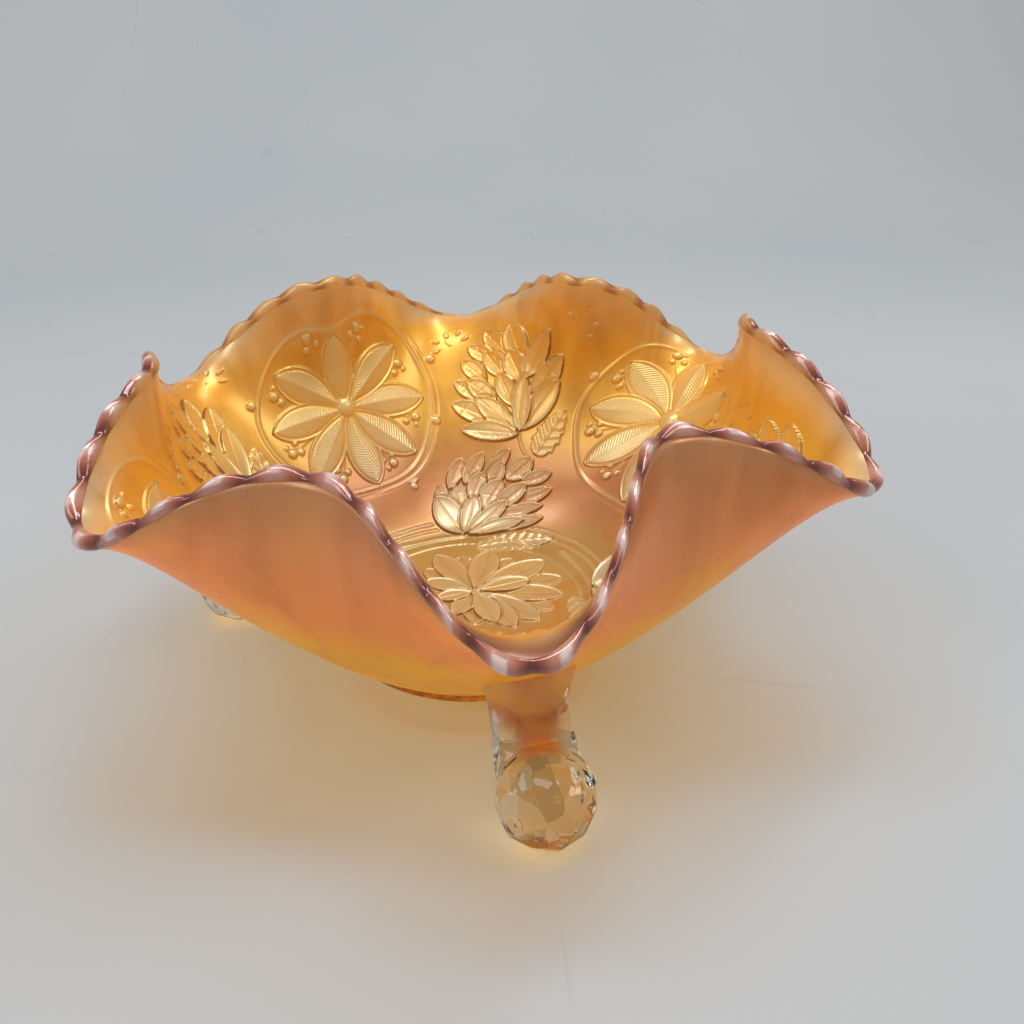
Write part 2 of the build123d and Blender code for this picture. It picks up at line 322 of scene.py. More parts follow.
def leaf(height, x, y, root, turn, length, width, teeth=5):
    """Serrated leaf with side veins."""
    u, v = local(x, y, root, turn)
    share = u / length
    saw = 1.0 - 0.22 * np.mod(share * teeth, 1.0)
    half = 0.5 * width * petal_width(share, 0.38) * saw
    inside = (share > 0) & (share < 1)
    edge = np.where(inside, half - np.abs(v), -1.0)
    cover = smooth(-0.05, 0.35, edge)
    body = 0.55 + 0.28 * ridge(v, 0.8) + 0.16 * np.cos(math.tau * (u - 0.9 * np.abs(v)) / (length / teeth))
    return over(height, cover, body)


def sprig(height, x, y, turn):
    """Spray of small buds on a thin stem near the rim."""
    height = stalk(height, x, y, (0, 0), (7 * math.cos(turn), 7 * math.sin(turn)), 0.8, 0.9, 0.3)
    for number in range(5):
        way = turn + 0.75 * (number - 2)
        longer = 1 + 0.2 * (number % 2)
        spot = (4.0 * math.cos(way) * longer, 4.0 * math.sin(way) * longer)
        height = petal(height, x, y, spot, math.degrees(way), 3.6, 1.9, top=0.5, hollow=0.1)
    return height


POINSETTIA_ANGLE = math.radians(28.25)
LILY_ANGLE = math.radians(73.5)
QUARTER = math.radians(90.0)
POINSETTIA_CLIMB = 65.7
UPPER_ROOT = (6.2, 49.0)
LOWER_ROOT = (-9.5, 2.2)
FLOOR_LEAF = ((-5.0, -5.5), 23.0, 33.0, 11.0, 8)
OUTER_BEADS = (
    (34.5, -13.5, 1.9), (40.0, 12.1, 2.0), (-36.0, 10.4, 1.9), (-39.0, -12.0, 1.6), (15.4, -38.5, 1.6)
)
LILY_REACH = 52                  # how far to each side of its middle a group of flowers is drawn
POINSETTIA_REACH = 48


def wall_relief(angle, share):
    """Height of the raised work on the inner face of the wall."""
    up, round_ = climb(share), girth(share)
    height = np.zeros(np.broadcast(angle, share).shape)
    for ring in (6.3, 9.4):
        height = np.maximum(height, 0.35 * ridge(up - ring, 1.3))
    for number in range(4):
        x = -turned(angle, LILY_ANGLE + number * QUARTER) * round_
        near = np.abs(x) < LILY_REACH
        drawn = stalk(height, x, up, (UPPER_ROOT[0] + 6.0, UPPER_ROOT[1] - 12.0), UPPER_ROOT, 0.9)
        drawn = stalk(drawn, x, up, (-38.0, LOWER_ROOT[1] + 1.0), LOWER_ROOT, -1.5, 2.2)
        drawn = leaf(drawn, x, up, *FLOOR_LEAF)
        drawn = water_lily(drawn, x - UPPER_ROOT[0], up - UPPER_ROOT[1], UPPER_LILY)
        drawn = water_lily(drawn, x - LOWER_ROOT[0], up - LOWER_ROOT[1], LOWER_LILY)
        drawn = leaf(drawn, x, up, (14.0, 41.0), 60.5, 24.0, 11.5, 5)
        drawn = sprig(drawn, x + 24.9, up - 83.5, math.radians(120.0))
        drawn = sprig(drawn, x - 29.0, up - 93.0, math.radians(60.0))
        drawn = petal(drawn, x, up, (-36.0, 29.0), 8.0, 4.6, 2.2, top=0.6, hollow=0.0)
        height = np.where(near, drawn, height)
    for number in range(4):
        x = -turned(angle, POINSETTIA_ANGLE + number * QUARTER) * round_
        near = np.abs(x) < POINSETTIA_REACH
        y = up - POINSETTIA_CLIMB
        drawn = poinsettia(height, x, y)
        for right, above, size in OUTER_BEADS:
            drawn = bead(drawn, x, y, (right, above), size, 0.55 * size)
        height = np.where(near, drawn, height)
    return height * smooth(0.0, 0.012, share) * smooth(0.945, 0.93, share)


# Petals of the centre flower: direction, length and width, the farther ones first.
CENTRE_LILY = (
    (133, 24.0, 10.0), (95, 25.0, 11.0), (51, 26.0, 11.0), (8, 32.0, 11.0), (-30, 29.0, 10.0),
    (-96, 20.0, 9.0), (172, 18.0, 8.0), (113, 29.0, 10.5), (72, 28.0, 11.0), (31, 32.0, 12.0),
    (-12, 30.5, 11.0), (-47, 28.0, 10.5), (-66, 26.0, 10.0), (150, 19.0, 8.5), (-122, 16.0, 8.0),
    (-168, 14.0, 7.5), (13, 20.5, 9.0), (-78, 20.5, 9.0),
)
CENTRE_ROOT = (1.5, 4.0)


def floor_relief(x, y):
    """Height of the raised work on the floor: one open water lily in the middle of a plain ring."""
    height = 0.35 * ridge(np.hypot(x, y) - 36.8, 1.3)
    reach, angle = np.hypot(x, y), np.arctan2(y, x) - FRONT
    for number in range(4):
        aside = -turned(angle, LILY_ANGLE + number * QUARTER) * FLOOR_RADIUS
        drawn = leaf(height, aside, reach - FLOOR_RADIUS, *FLOOR_LEAF)
        height = np.where((np.abs(aside) < 35) & (reach > FLOOR_RADIUS - 12), drawn, height)
    px, py = x - CENTRE_ROOT[0], y - CENTRE_ROOT[1]
    for number, (turn, length, width) in enumerate(CENTRE_LILY):
        lift = 0.3 * number / len(CENTRE_LILY)
        height = petal(height, px, py, (0, 0), turn, length, width, 0.6, 0.35, lift, 0.6)
    return bead(height, px, py, (0, 0), 1.8, 0.8)


# ---- Meshes ----
def new_piece(name, points, polygons, material, slot_name, stands_for, flat=(), normals=None, **attributes):
    """One piece of the bowl from points in millimetres, riding on the only body there is.

    Normals, where given, are for the first points; the rest keep their own.
    """
    mesh = bpy.data.meshes.new(name)
    mesh.from_pydata((np.asarray(points) * MM).tolist(), [], polygons)
    smooth_faces = np.ones(len(mesh.polygons), bool)
    smooth_faces[list(flat)] = False
    mesh.polygons.foreach_set("use_smooth", smooth_faces)
    for attribute, values in attributes.items():
        data = mesh.attributes.new(attribute, "FLOAT", "POINT").data
        data.foreach_set("value", np.asarray(values, np.float32))
    mesh.materials.append(material)
    mesh.validate()
    mesh.update()
    if normals is not None:
        every = np.zeros((len(points), 3))
        every[: len(normals)] = normals
        mesh.normals_split_custom_set_from_vertices(every.tolist())
    piece = bpy.data.objects.new(name, mesh)
    bpy.context.scene.collection.objects.link(piece)
    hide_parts(*stands_for)
    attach(piece, "root")
    return piece


def ring_quads(rows, columns, flip=False, closed=False):
    """Quads between rows of points that go all the way round; closed joins the last row to the first."""
    row, column = np.meshgrid(np.arange(rows if closed else rows - 1), np.arange(columns), indexing="ij")
    here, above, after = row * columns, (row + 1) % rows * columns, (column + 1) % columns
    corners = (here + column, here + after, above + after, above + column)
    quads = np.stack([corner.ravel() for corner in corners], axis=-1)
    return (quads[:, ::-1] if flip else quads).tolist()


def square_to(points):
    """Unit normals of a grid of points, and the steps along and across it."""
    along = np.gradient(points, axis=0)
    across = np.gradient(points, axis=1)
    normal = np.cross(along, across)
    return normal / np.linalg.norm(normal, axis=-1, keepdims=True), along, across


def outward(points, relief):
    """Grid of points moved square to its own surface by the relief, its normals, and its steepness."""
    normal, along, across = square_to(points)
    rise = np.gradient(relief, axis=0) / np.linalg.norm(along, axis=-1)
    slope = np.gradient(relief, axis=1) / np.linalg.norm(across, axis=-1)
    moved = points + normal * relief[..., None] * RELIEF_DEPTH
    return moved, square_to(moved)[0], np.hypot(rise, slope)


BACK_STEP = 8                    # the hidden back of a panel has one cell for this many in front


def closed_panel(front, back):
    """Points and faces of a closed panel: a fine front grid, a coarse back grid, and the edges between."""
    rows, columns = front.shape[0], front.shape[1]
    index = np.arange(rows * columns).reshape(rows, columns)
    polygons = np.stack([index[:-1, :-1], index[:-1, 1:], index[1:, 1:], index[1:, :-1]], axis=-1)
    polygons = polygons.reshape(-1, 4)[:, ::-1].tolist()
    fronts = len(polygons)
    keep = np.zeros((rows, columns), bool)
    keep[[0, -1], :] = keep[:, [0, -1]] = True
    keep[::BACK_STEP, ::BACK_STEP] = True
    behind = np.full((rows, columns), -1)
    behind[keep] = np.arange(keep.sum()) + rows * columns
    loop = [(0, c) for c in range(columns - 1)] + [(r, columns - 1) for r in range(rows - 1)]
    loop += [(rows - 1, c) for c in range(columns - 1, 0, -1)] + [(r, 0) for r in range(rows - 1, 0, -1)]
    for here, there in zip(loop, loop[1:] + loop[:1]):
        polygons.append([int(v) for v in (index[here], index[there], behind[there], behind[here])])
    for r in range(0, rows - 1, BACK_STEP):
        for c in range(0, columns - 1, BACK_STEP):
            cell = [(r, c + k) for k in range(BACK_STEP)] + [(r + k, c + BACK_STEP) for k in range(BACK_STEP)]
            cell += [(r + BACK_STEP, c + BACK_STEP - k) for k in range(BACK_STEP)]
            cell += [(r + BACK_STEP - k, c) for k in range(BACK_STEP)]
            polygons.append([int(behind[place]) for place in cell if keep[place]])
    points = np.concatenate([front.reshape(-1, 3), back[keep]])
    return points, polygons, range(fronts, len(polygons)), keep


WALL_COLUMNS = 720
WALL_ROWS = 60
FAR_START = math.radians(55.0)   # the edge goes from dark amethyst, painted shade, to pale gold, painted light from behind, from here round the back
FAR_END = math.radians(122.0)
EDGE_SHADE_START = math.radians(22.0)  # the painted shade under the front edge fades out from here
EDGE_SHADE_END = math.radians(65.0)


def far_side(angle):
    """0 at the front of the bowl, 1 round the back."""
    return smooth(FAR_START, FAR_END, np.abs(turned(angle, 0.0)))


def edge_film(angle, share):
    """How far the dark edge colour is painted down the wall just under the front edge, as painted shade."""
    return smooth(0.84, 0.985, share) * (1.0 - smooth(EDGE_SHADE_START, EDGE_SHADE_END, np.abs(turned(angle, 0.0))))


PANEL_EDGE = math.radians(6.0)
PANEL_SPAN = math.radians(45.0)
PANEL_COLUMNS = 27 * BACK_STEP + 1
PANEL_ROWS = 33 * BACK_STEP + 1


def relief_panel(name, number, material, stands_for):
    """Inner half of the wall over an eighth of the way round, with its raised flowers."""
    step = PANEL_SPAN / (PANEL_COLUMNS - 1)
    angles = PANEL_EDGE + PANEL_SPAN * number + step * np.arange(-2, PANEL_COLUMNS + 2)
    rise = WALL_END / (PANEL_ROWS - 1)
    shares = rise * np.arange(-2, PANEL_ROWS + 2)
    share, angle = np.meshgrid(shares, angles, indexing="ij")
    relief = wall_relief(angle, share)
    front, normals, steep = outward(inner_wall(angle, share), relief)
    grids = (front, normals, steep, share, angle, relief)
    front, normals, steep, share, angle, relief = (grid[2:-2, 2:-2] for grid in grids)
    radius, height = layer(angle, share, 0.5 * thickness(share))
    back = in_space(angle, radius, height, share)
    points, polygons, flat, keep = closed_panel(front, back)
    hidden = np.zeros(keep.sum())
    return new_piece(
        name, points, polygons, material, "relief_glass", stands_for, flat, normals.reshape(-1, 3),
        relief=np.concatenate([relief.ravel(), hidden]), steep=np.concatenate([steep.ravel(), hidden]),
        share=np.concatenate([share.ravel(), share[keep]]),
        # Painted shade under the front edge, on the raised face only.
        film=np.concatenate([edge_film(angle, share).ravel(), hidden]),
    )


def wall_shell(material):
    """Outer half of the wall, smooth outside, closed along the middle of the glass."""
    shares = np.linspace(0.0, WALL_END, WALL_ROWS)
    angles = np.linspace(0.0, math.tau, WALL_COLUMNS, endpoint=False)
    share, angle = np.meshgrid(shares, angles, indexing="ij")
    outer = in_space(angle, *layer(angle, share, 0.0), share)
    middle = in_space(angle, *layer(angle, share, 0.5 * thickness(share)), share)[::-1]
    points = np.concatenate([outer, middle]).reshape(-1, 3)
    polygons = ring_quads(2 * WALL_ROWS, WALL_COLUMNS, closed=True)
    edges = list(range((WALL_ROWS - 1) * WALL_COLUMNS, WALL_ROWS * WALL_COLUMNS))
    edges += list(range(len(polygons) - WALL_COLUMNS, len(polygons)))
    place = np.concatenate([share, share[::-1]]).ravel()
    # The outer face takes 0.3 of the painted shade under the front edge.
    film = np.concatenate([edge_film(angle, share), edge_film(angle, share)[::-1]]).ravel()
    return new_piece(
        "wall_shell", points, polygons, material, "marigold_glass", ["bowl_wall"], edges,
        relief=np.zeros(len(points)), steep=np.zeros(len(points)), share=place, film=0.3 * film,
    )


SCALLOPS = 60
BEAD_STEPS = 26                  # points along one scallop
BEAD_SIDES = 24
BEAD_HALF_WIDTH = 1.95
BEAD_HEIGHT = 1.5
SCALLOP_HEIGHT = 2.0
SCALLOP_SWELL = 0.45


def rim_bead(material):
    """Fire-polished bead on the rim, swelling into evenly spaced scallops."""
    fine = np.linspace(0.0, math.tau, 7201)
    line = in_space(fine, *outer_face(fine, 1.0), 1.0)
    length = np.concatenate([[0.0], np.cumsum(np.linalg.norm(np.diff(line, axis=0), axis=1))])
    count = SCALLOPS * BEAD_STEPS
    turn = np.interp(np.arange(count) / count * length[-1], length, fine)
    phase = math.tau * (np.arange(count) / BEAD_STEPS + 0.5)
    lobe = (0.5 + 0.5 * np.cos(phase)) ** 0.7
    rng = np.random.default_rng(7)
    uneven_lobes = np.repeat(rng.uniform(0.8, 1.12, SCALLOPS), BEAD_STEPS)
    lift = SCALLOP_HEIGHT * lobe * uneven_lobes
    outer_r, outer_z = layer(turn, WALL_END, 0.0)
    inner_r, inner_z = layer(turn, WALL_END, WALL_THICKNESS)
    across_r, across_z = inward(turn, WALL_END)
    middle_r, middle_z = 0.5 * (outer_r + inner_r), 0.5 * (outer_z + inner_z)
    rows = []
    for side in range(BEAD_SIDES):
        way = math.tau * side / BEAD_SIDES
        over_wall = -math.cos(way) * (BEAD_HALF_WIDTH + SCALLOP_SWELL * lobe)
        top = math.sin(way)
        up = (BEAD_HEIGHT + lift) * top**0.85 if top > 0 else np.full(count, 0.7 * top)
        radius = middle_r + across_r * over_wall + across_z * up
        height = middle_z + across_z * over_wall - across_r * up
        rows.append(in_space(turn, radius, height, 1.0))
    points = np.concatenate(rows)
    polygons = ring_quads(BEAD_SIDES, count, closed=True)
    ways = math.tau * np.arange(BEAD_SIDES) / BEAD_SIDES
    return new_piece(
        "rim_bead", points, polygons, material, "edge_glass", ["rim_edge"],
        lobe=np.tile(lobe, BEAD_SIDES), inner_side=np.repeat(0.5 - 0.5 * np.cos(ways), count),
        top_side=np.repeat(np.sin(ways), count), far_side=np.tile(far_side(turn), BEAD_SIDES),
    )


def lathe(name, outline, material, slot_name, stands_for, columns=240, **attributes):
    """Closed outline of (radius, height) points turned about the axis; it may touch the axis at its ends."""
    points = []
    turns = math.tau * np.arange(columns) / columns
    open_ends = outline[0][0] == 0 and outline[-1][0] == 0
    inner = outline[1:-1] if open_ends else outline
    for radius, height in inner:
        points += [(radius * math.cos(turn), radius * math.sin(turn), height) for turn in turns]
    rows = len(inner)
    polygons = ring_quads(rows, columns, closed=not open_ends)
    if open_ends:
        last = (rows - 1) * columns
        first_tip, last_tip = len(points), len(points) + 1
        points += [(0, 0, outline[0][1]), (0, 0, outline[-1][1])]
        polygons += [[first_tip, (c + 1) % columns, c] for c in range(columns)]
        polygons += [[last_tip, last + c, last + (c + 1) % columns] for c in range(columns)]
    piece = new_piece(name, points, polygons, material, slot_name, stands_for)
    for attribute, value in attributes.items():
        data = piece.data.attributes.new(attribute, "FLOAT", "POINT").data
        data.foreach_set("value", np.full(len(points), value, np.float32))
    return piece


def rounded(corner, before, after, radius, steps=6):
    """Points of a rounded corner between two straight lines, as a quadratic curve."""
    corner, before, after = (np.array(point, float) for point in (corner, before, after))
    start = corner + (before - corner) / np.linalg.norm(before - corner) * radius
    end = corner + (after - corner) / np.linalg.norm(after - corner) * radius
    shares = np.linspace(0.0, 1.0, steps)
    return [tuple((1 - t) ** 2 * start + 2 * t * (1 - t) * corner + t**2 * end) for t in shares]


def rounded_outline(corners, radius):
    """Closed outline through corners, each rounded by the same radius."""
    outline = []
    for number, corner in enumerate(corners):
        outline += rounded(corner, corners[number - 1], corners[(number + 1) % len(corners)], radius)
    return outline


COLLAR_LOW = 11.6
COLLAR_OUT = BASE_RADIUS - 0.3
COLLAR_IN = COLLAR_OUT - 6.5
COLLAR_ROUNDING = 0.55


def floor_and_collar(wall_material, collar_material):
    middle = 0.5 * (FLOOR_TOP + FLOOR_UNDER)
    radius, height = layer(np.float64(0), np.float64(0), 0.5 * thickness(0.0))
    outline = [(0, FLOOR_UNDER)] + [(r, FLOOR_UNDER) for r in (12, 24, COLLAR_IN - 3.0)]
    outline += rounded((COLLAR_IN - 1.0, FLOOR_UNDER), (0, FLOOR_UNDER), (COLLAR_IN, BASE_HEIGHT), 0.9)
    outline += [(COLLAR_IN, BASE_HEIGHT), (BASE_RADIUS, BASE_HEIGHT), (float(radius), float(height))]
    outline += [(r, middle) for r in (34, 22, 10)] + [(0, middle)]
    plain = dict.fromkeys(("relief", "steep", "share", "film"), 0.0)
    lathe("floor_shell", outline, wall_material, "marigold_glass", ["bowl_floor"], **plain)
    corners = [(COLLAR_OUT, COLLAR_LOW), (COLLAR_OUT + 0.3, BASE_HEIGHT + 1.2)]
    corners += [(COLLAR_IN, BASE_HEIGHT + 0.6), (COLLAR_IN, COLLAR_LOW)]
    outline = rounded_outline(corners[::-1], COLLAR_ROUNDING)[::-1]
    lathe("collar_ring", outline, collar_material, "amber_glass", ["base_collar"])


def centre_panel(material):
    """Inner half of the floor with the open water lily, as rings about the middle."""
    rings, columns = 104, 440
    radii = FLOOR_RADIUS * np.arange(1, rings + 3) / rings
    turns = math.tau * np.arange(-2, columns + 2) / columns
    radius, angle = np.meshgrid(radii, turns, indexing="ij")
    x, y = radius * np.cos(FRONT + angle), radius * np.sin(FRONT + angle)
    relief = floor_relief(x, y) * smooth(FLOOR_RADIUS, FLOOR_RADIUS - 0.5, radius)
    front, normals, steep = outward(inner_floor(angle, radius), relief)
    front, normals, steep, relief = (grid[:-2, 2:-2] for grid in (front, normals, steep, relief))
    middle = 0.5 * (FLOOR_TOP + FLOOR_UNDER)
    edge_radius, edge_height = layer(np.float64(0), np.float64(0), 0.5 * thickness(0.0))
    centre = front[0].mean(axis=0)
    turn = FRONT + turns[2:-2]
    circles = [(edge_radius, edge_height)] + [(r, middle) for r in (34.0, 22.0, 10.0)]
    back = [np.stack([r * np.cos(turn), r * np.sin(turn), 0 * turn + z], axis=-1) for r, z in circles]
    rows = rings + len(back)
    points = np.concatenate([front.reshape(-1, 3), *back, [centre, (0, 0, middle)]])
    polygons = ring_quads(rows, columns, flip=True)
    tip, under = len(points) - 2, len(points) - 1
    last = (rows - 1) * columns
    polygons += [[tip, c, (c + 1) % columns] for c in range(columns)]
    polygons += [[under, last + (c + 1) % columns, last + c] for c in range(columns)]
    flat = range((rings - 1) * columns, (rows - 1) * columns)
    hidden = np.zeros(len(points) - relief.size)
    return new_piece(
        "centre_lily_panel", points, polygons, material, "relief_glass",
        ["centre_water_lily", "medallion_ring"], flat, normals.reshape(-1, 3),
        relief=np.concatenate([relief.ravel(), hidden]), steep=np.concatenate([steep.ravel(), hidden]),
        share=np.zeros(len(points)), film=np.zeros(len(points)),
    )


# ---- Feet ----
FOOT_RADIUS = 89.0
BALL_RADIUS = 14.0
BALL_SINK = 0.4
FOOT_TURNS = {"front": 6.2, "back_right": 126.2, "back_left": 246.2}
LEG_LINE = ((66.5, 45.0), (70.0, 36.0), (72.5, 28.0), (77.0, 20.5), (84.0, 15.5))
LEG_HALF_WIDTH = (15.5, 12.2, 11.2, 11.8, 11.5)
LEG_HALF_THICKNESS = (9.0, 7.6, 6.9, 7.2, 9.0)


def wall_middle(angle, radius):
    """Height of the middle of the glass of the wall, straight above a spot under it."""
    share, turn = np.meshgrid(np.linspace(0.0, 0.6, 61), angle)
    out, up = layer(turn, share, 0.5 * thickness(share))
    after = np.clip((out < radius[:, None]).sum(axis=1), 1, out.shape[1] - 1)
    row = np.arange(len(radius))
    span = out[row, after] - out[row, after - 1]
    part = np.clip((radius - out[row, after - 1]) / span, 0.0, 1.0)
    return up[row, after - 1] * (1 - part) + up[row, after] * part


def foot(name, turn, material, stands_for):
    """Leg and ball in one: a flattened column that flares into the wall and closes on the ball."""
    sides, steps = 64, 40
    share = np.linspace(0.0, 1.0, steps)
    knots = np.linspace(0.0, 1.0, len(LEG_LINE))
    line = np.array(LEG_LINE)

    def along(values):
        """Smooth value along the leg through the listed ones."""
        fit = np.polynomial.Polynomial.fit(knots, values, len(knots) - 1)
        return fit(share)

    middle = np.stack([along(line[:, 0]), along(line[:, 1])], axis=-1)
    direction = np.gradient(middle, axis=0)
    direction /= np.linalg.norm(direction, axis=1, keepdims=True)
    square = np.stack([-direction[:, 1], direction[:, 0]], axis=-1)
    wide, thick = along(LEG_HALF_WIDTH), along(LEG_HALF_THICKNESS)
    ways = math.tau * np.arange(sides) / sides
    c, s = np.cos(ways), np.sin(ways)
    c, s = np.sign(c) * np.abs(c) ** 0.75, np.sign(s) * np.abs(s) ** 0.75
    out = middle[:, None, 0] + square[:, None, 0] * thick[:, None] * s
    up = middle[:, None, 1] + square[:, None, 1] * thick[:, None] * s
    aside = wide[:, None] * c
    leg = np.stack([out, aside, up], axis=-1).reshape(-1, 3)
    polygons = ring_quads(steps, sides)
    polygons += [list(range(sides)), list(range((steps - 1) * sides, steps * sides))[::-1]]
    mesh = bpy.data.meshes.new(name)
    mesh.from_pydata(leg.tolist(), [], polygons)
    form = bmesh.new()
    form.from_mesh(mesh)
    place = Matrix.Translation((FOOT_RADIUS, 0.0, BALL_RADIUS - BALL_SINK))
    ball = bmesh.ops.create_icosphere(form, subdivisions=2, radius=BALL_RADIUS + 0.5, matrix=place)
    rng = np.random.default_rng(len(name))
    centre = Vector((FOOT_RADIUS, 0.0, BALL_RADIUS - BALL_SINK))
    for vertex in ball["verts"]:
        vertex.co = centre + (vertex.co - centre) * rng.uniform(0.975, 1.02)
    bmesh.ops.recalc_face_normals(form, faces=form.faces)
    form.to_mesh(mesh)
    form.free()
    draft = bpy.data.objects.new(name + "_draft", mesh)
    bpy.context.scene.collection.objects.link(draft)
    remesh = draft.modifiers.new("one_skin", "REMESH")
    remesh.mode = "VOXEL"
    remesh.voxel_size = 0.5
    soften = draft.modifiers.new("soften", "SMOOTH")
    soften.factor = 0.5
    soften.iterations = 9
    made = bpy.data.meshes.new_from_object(draft.evaluated_get(bpy.context.evaluated_depsgraph_get()))
    points = np.zeros(len(made.vertices) * 3)
    made.vertices.foreach_get("co", points)
    points = points.reshape(-1, 3)
    points[:, 2] = np.maximum(points[:, 2], 0.0)
    polygons = [list(face.vertices) for face in made.polygons]
    bpy.data.objects.remove(draft)
    bpy.data.meshes.remove(made)
    core = np.exp(-((points[:, 1] / 6.0) ** 4)) * smooth(19.0, 25.0, points[:, 2])
    core = core * smooth(92.0, 84.0, points[:, 0])
    away = FRONT + math.radians(turn)
    x = points[:, 0] * math.cos(away) - points[:, 1] * math.sin(away)
    y = points[:, 0] * math.sin(away) + points[:, 1] * math.cos(away)
    z = np.minimum(points[:, 2], wall_middle(np.arctan2(y, x) - FRONT, np.hypot(x, y)))
    points = np.stack([x, y, z], axis=-1)
    return new_piece(name, points, polygons, material, "amber_glass", stands_for, core=core)


# ---- Materials ----
class Nodes:
    """Short way to write a node tree."""

    def __init__(self, name):
        self.material = bpy.data.materials.new(name)
        self.material.use_nodes = True
        self.tree = self.material.node_tree
        self.tree.nodes.clear()

    def add(self, kind, sockets=None, **settings):
        """Node with its settings, and its sockets set, or linked to another node's output."""
        node = self.tree.nodes.new(kind)
        for key, value in settings.items():
            setattr(node, key, value)
        for key, source in (sockets or {}).items():
            socket = node.inputs[key]
            if isinstance(source, bpy.types.NodeSocket):
                self.tree.links.new(source, socket)
            elif socket.type == "RGBA":
                socket.default_value = (*source, 1.0)
            else:
                socket.default_value = source
        return node

    def coordinates(self, scale):
        """Object position, scaled; the pieces' points are in metres."""
        place = self.add("ShaderNodeTexCoord").outputs["Object"]
        scale = scale if isinstance(scale, tuple) else (scale,) * 3
        return self.add("ShaderNodeMapping", {"Vector": place, "Scale": scale}).outputs["Vector"]

    def noise(self, scale, detail=3.0, roughness=0.5, distortion=0.0):
        sockets = {"Vector": self.coordinates(scale), "Scale": 1.0, "Detail": detail}
        sockets |= {"Roughness": roughness, "Distortion": distortion}
        return self.add("ShaderNodeTexNoise", sockets).outputs["Fac"]

    def value(self, name):
        return self.add("ShaderNodeAttribute", attribute_name=name).outputs["Fac"]

    def ramp(self, source, stops):
        """Colour ramp: stops are (place, colour)."""
        node = self.add("ShaderNodeValToRGB", {"Fac": source})
        points = node.color_ramp.elements
        while len(points) < len(stops):
            points.new(1.0)
        for point, (place, shade) in zip(points, stops):
            point.position = place
            point.color = (*shade, 1.0)
        return node.outputs["Color"]

    def grey(self, source, stops):
        """Ramp of plain values: stops are (place, value)."""
        return self.ramp(source, [(place, (value,) * 3) for place, value in stops])

    def mix(self, factor, first, second, blend="MIX"):
        sockets = {"Factor": factor, "A": first, "B": second}
        return self.add("ShaderNodeMix", sockets, data_type="RGBA", blend_type=blend).outputs["Result"]

    def math(self, operation, first, second=0.0):
        return self.add("ShaderNodeMath", {0: first, 1: second}, operation=operation).outputs["Value"]

    def times(self, first, second):
        return self.math("MULTIPLY", first, second)

    def plus(self, first, second):
        return self.math("ADD", first, second)

    def less(self, first, second):
        return self.math("SUBTRACT", first, second)

    def bump(self, height, strength, distance):
        sockets = {"Height": height, "Strength": strength, "Distance": distance}
        return self.add("ShaderNodeBump", sockets).outputs["Normal"]

    def glossy(self, base, roughness, normal, **values):
        """Principled shader; values are its other inputs, with underscores for spaces."""
        sockets = {"Base Color": base, "Roughness": roughness, "Normal": normal}
        sockets |= {name.replace("_", " "): value for name, value in values.items()}
        return self.add("ShaderNodeBsdfPrincipled", sockets).outputs[0]

    def blend(self, factor, first, second):
        """Mix of two shaders."""
        return self.add("ShaderNodeMixShader", {"Fac": factor, 1: first, 2: second}).outputs[0]

    def let_light_through(self, shader, tint):
        """Lets lamps shine through the glass, tinted, which gives the warm glow under the bowl."""
        rays = self.add("ShaderNodeLightPath")
        clear = self.add("ShaderNodeBsdfTransparent", {"Color": tint})
        return self.blend(rays.outputs["Is Shadow Ray"], shader, clear.outputs[0])

    def finish(self, shader):
        self.add("ShaderNodeOutputMaterial", {"Surface": shader})
        return self.material


def colour(red, green, blue):
    """Linear colour from display values."""
    return tuple((v / 12.92 if v <= 0.04045 else ((v + 0.055) / 1.055) ** 2.4) for v in (red, green, blue))


GLASS_IOR = 1.5
BROAD = ((16.0, 16.0, 22.0), 3.0, 0.55, 0.6)  # scale, detail, roughness and distortion of the noises
FINE = (150.0, 3.0, 0.6)
STREAK = ((60.0, 60.0, 14.0), 3.0, 0.5, 1.0)
WALL_TINT = (0.938, 0.838, 0.59)  # each of the four faces that light crosses takes this much
FOOT_TINT = (0.95, 0.91, 0.80)


def lustre_shader(nodes, base, roughness, metallic, glow, coat=0.4):
    """Satin metallic skin over glass that glows where light comes through it."""
    fine = nodes.noise(*FINE)
    broad = nodes.noise(*BROAD)
    normal = nodes.bump(nodes.plus(broad, nodes.times(fine, 0.12)), 0.25, 0.0012)
    rough = nodes.plus(nodes.times(fine, 0.14), roughness)
    shader = nodes.glossy(
        base, rough, normal, Metallic=metallic, Coat_Weight=coat, Coat_Roughness=0.14, Coat_IOR=GLASS_IOR
    )
    tint = nodes.mix(0.25, base, colour(1.0, 0.93, 0.74))
    through = nodes.add("ShaderNodeBsdfTranslucent", {"Color": tint})
    return nodes.blend(glow, shader, through.outputs[0])


